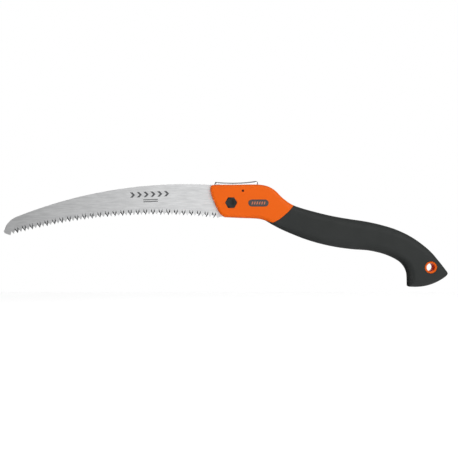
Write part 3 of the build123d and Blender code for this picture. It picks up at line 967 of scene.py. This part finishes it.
# generic marks etched into the blade's front face: a row of chevrons with two thin rules under it
MARK_AT = (-78.0, 5.8)
MARK_TILT = 2.4
MARK_SUNK = 0.05
MARK_RAISED = 0.012
CHEVRON = [(0, 0), (2.6, 2.6), (0, 5.2), (2.4, 5.2), (5.0, 2.6), (2.4, 0)]
CHEVRONS = 6
CHEVRON_PITCH = 6.6
RULE = [(0, 0), (14.0, 0), (14.0, 0.8), (0, 0.8)]
RULES = 2
RULES_AT = (-7.0, -3.0)
RULE_PITCH = 1.8


def etched(name, outline, x, z):
    placed = [turned((MARK_AT[0] + x + a, MARK_AT[1] + z + b), MARK_TILT, MARK_AT) for a, b in outline]
    mark = prism(name, placed, FRONT * (BLADE_T / 2 - MARK_SUNK), FRONT * (BLADE_T / 2 + MARK_RAISED))
    fit(mark, "blade", "black_oxide", [], ETCHED)


for k in range(CHEVRONS):
    etched(f"blade_mark_{k + 1}", CHEVRON, (k - CHEVRONS / 2) * CHEVRON_PITCH, 0)
for k in range(RULES):
    etched(f"blade_rule_{k + 1}", RULE, RULES_AT[0], RULES_AT[1] - RULE_PITCH * k)

# ---------------------------------------------------------------- lock lever
BEND_RADIUS = 1.6           # outside of the bends between the lever's top and its sides
BEND_STEPS = 6
BEND_FROM = 18.0            # the outline is bent over above this height


def drawn_in(outline, amount, above):
    """An outline whose points above a height are moved in, square to it."""
    line = np.array(outline, float)
    run = np.roll(line, -1, axis=0) - np.roll(line, 1, axis=0)
    run /= np.linalg.norm(run, axis=1)[:, None]
    inward = np.column_stack([run[:, 1], -run[:, 0]])
    moved = line + amount * inward
    return [tuple(moved[i] if line[i, 1] > above else line[i]) for i in range(len(line))]


thumb_rest = arc_through((-15.1, 20.3), (2.0, 19.45), (23.6, 21.1), 30)
thumb_end = arc_through((23.6, 21.1), (25.4, 20.3), (26.0, 18.3), 8)
lever_heel = arc_through((14.1, 13.2), (11.9, 8.9), (8.6, 10.2), 14)
lever_outline = [
    *thumb_rest, *thumb_end[1:], (25.6, 16.2), *lever_heel, (-4.0, 12.3), (-9.8, 12.6), (-16.4, 17.4),
]
bends = []
for k in range(BEND_STEPS + 1):
    turn = math.radians(90 * k / BEND_STEPS)
    half = LEVER_W / 2 - BEND_RADIUS * (1 - math.sin(turn))
    drop = BEND_RADIUS * (1 - math.cos(turn))
    bends.append((half, drawn_in(lever_outline, drop, BEND_FROM)))
lever = stepped("lock_lever_pressing", [(-half, line) for half, line in bends[::-1]] + bends)
channel_top = [(x, z - LEVER_SHEET) for x, z in arc_through((-20.0, 20.9), (2.0, 19.45), (28.0, 21.5), 30)]
channel_half = LEVER_W / 2 - LEVER_SHEET
PIN_ROOM = 0.1
carve(
    lever,
    prism("channel", [*channel_top, (28, 0), (-20, 0)], -channel_half, channel_half),
    prism("pin_hole", circle(LEVER_PIN, LEVER_PIN_D + PIN_ROOM, PIN_SIDES), -LEVER_W, LEVER_W),
    prism("lock_hole", circle(LOCK_PIN, LOCK_PIN_D, PIN_SIDES), -LEVER_W, LEVER_W),
)
finish_mesh(lever)
for material in (PLATED, BRUSHED_PAINTED_SHADE):
    lever.data.materials.append(material)
# painted shade: every face but the flat sides takes the darker copy of the plate
for polygon in lever.data.polygons:
    is_flank = abs(polygon.normal.y) > 0.99
    polygon.material_index = 0 if is_flank else 1
fit(lever, "lever", "plated_steel", ["lock_lever"])

# ---------------------------------------------------------------- small parts that keep their CAD shape
KEPT = {
    "lock_pin": STEEL,
    # the lever pin's black oxide is painted shade: it keeps the bottom of its deep hole dark
    "lever_pin": BLACK,
    "lever_spring": STEEL,
    "pivot_bush": STEEL,
    "flat_washer": PLATED,
    "spring_washer": BLACK,
    "left_thrust_washer": ACETAL,
    "right_thrust_washer": ACETAL,
    "shell_screws": PLATED,
}
SMALL_EDGE = 0.12
SMALL_CREASE = 40
for name, material in KEPT.items():
    node = frame["nodes"][name]
    for material_slot in node.material_slots:
        material_slot.material = material
    weld = node.modifiers.new("weld", "WELD")
    weld.merge_threshold = 2 * SAME * MM
    if name != "lever_spring":
        rounding = node.modifiers.new("rounding", "BEVEL")
        rounding.width = SMALL_EDGE * MM
        rounding.segments = 2
        rounding.limit_method = "ANGLE"
        rounding.angle_limit = math.radians(SMALL_CREASE)

# ---------------------------------------------------------------- floor, light and camera
scene = bpy.context.scene
scene.view_settings.view_transform = "Standard"
CAMERA_AT = (-2.03, -25.2)
CAMERA_FAR = 1047.0
FLOOR_DROP = 262.0
FLOOR_SIZE = 6.0


def white_floor():
    look = Look("studio_floor", (0.93, 0.93, 0.93), 0.8)
    look.set(Emission_Color=(1.0, 1.0, 1.0, 1.0), Emission_Strength=0.7)
    look.rough(look.spread(look.noise(6, detail=2), 0.7, 0.9))
    return look.material


half_floor = FLOOR_SIZE / 2
floor_z = PIVOT.z - FLOOR_DROP * MM
floor = piece(
    "studio_floor",
    [(x * half_floor, y * half_floor, floor_z) for x, y in ((-1, -1), (1, -1), (1, 1), (-1, 1))],
    [(0, 1, 2, 3)],
)
floor.data.materials.append(white_floor())
floor.visible_diffuse = False
floor.visible_glossy = False


def soft_light(name, location, target, size, watts):
    """A square softbox at location, in metres, facing target."""
    light = bpy.data.lights.new(name, "AREA")
    light.shape = "SQUARE"
    light.size = size
    light.energy = watts
    lamp = bpy.data.objects.new(name, light)
    lamp.location = location
    lamp.rotation_euler = (Vector(target) - Vector(location)).to_track_quat("-Z", "Y").to_euler()
    scene.collection.objects.link(lamp)


# place from the middle of the saw and size, both in metres, and power in watts
LIGHTS = {
    "key_light": ((0.9, -1.3, 1.5), 1.6, 20),
    "fill_light": ((-1.9, -0.7, -0.5), 1.2, 54),
    "back_light": ((-0.8, 1.5, 1.2), 1.2, 6),
}
centre = (CAD_BOX[0] + CAD_BOX[1]) / 2
for name, (offset, size, watts) in LIGHTS.items():
    soft_light(name, centre + Vector(offset), centre, size, watts)


# how bright the world is as a light, along the row's axes: from, to, and its strength at each
WORLD_RAMPS = [
    ("X", (-0.29, 0.04, 0.0, 1.42)),
    ("X", (0.15, 0.80, 1.0, 0.5)),
    ("Y", (-0.50, 0.40, 1.0, 0.5)),
    ("Z", (0.05, 0.75, 1.03, 0.45)),
    ("Z", (-0.80, -0.25, 1.3, 1.0)),
]


def studio_world():
    """White to the eye. As a light, bright in front and below, dimmer to the sides, above and behind."""
    world = bpy.data.worlds.new("studio")
    world.use_nodes = True
    nodes, links = world.node_tree.nodes, world.node_tree.links
    nodes.clear()
    way = nodes.new("ShaderNodeTexCoord").outputs["Generated"]
    split_way = nodes.new("ShaderNodeSeparateXYZ")
    links.new(way, split_way.inputs["Vector"])
    ramps = []
    for axis, ramp in WORLD_RAMPS:
        remap = nodes.new("ShaderNodeMapRange")
        remap.interpolation_type = "SMOOTHSTEP"
        for name, number in zip(("From Min", "From Max", "To Min", "To Max"), ramp):
            remap.inputs[name].default_value = number
        links.new(split_way.outputs[axis], remap.inputs["Value"])
        ramps.append(remap.outputs["Result"])
    lighting = nodes.new("ShaderNodeBackground")
    strength = ramps[0]
    for ramp in ramps[1:]:
        product = nodes.new("ShaderNodeMath")
        product.operation = "MULTIPLY"
        links.new(strength, product.inputs[0])
        links.new(ramp, product.inputs[1])
        strength = product.outputs["Value"]
    links.new(strength, lighting.inputs["Strength"])
    seen = nodes.new("ShaderNodeBackground")
    ray = nodes.new("ShaderNodeLightPath").outputs["Is Camera Ray"]
    mix = nodes.new("ShaderNodeMixShader")
    links.new(ray, mix.inputs["Fac"])
    links.new(lighting.outputs["Background"], mix.inputs[1])
    links.new(seen.outputs["Background"], mix.inputs[2])
    output = nodes.new("ShaderNodeOutputWorld")
    links.new(mix.outputs["Shader"], output.inputs["Surface"])
    for background in (lighting, seen):
        background.inputs["Color"].default_value = (1.0, 1.0, 1.0, 1.0)
    return world


scene.world = studio_world()

lens = bpy.data.cameras.new("photo_view")
lens.lens = 85
lens.sensor_width = 36
camera = bpy.data.objects.new("photo_view", lens)
camera.location = spot(*CAMERA_AT, -CAMERA_FAR)
camera.rotation_euler = (math.radians(90), 0, 0)
scene.collection.objects.link(camera)
scene.camera = camera
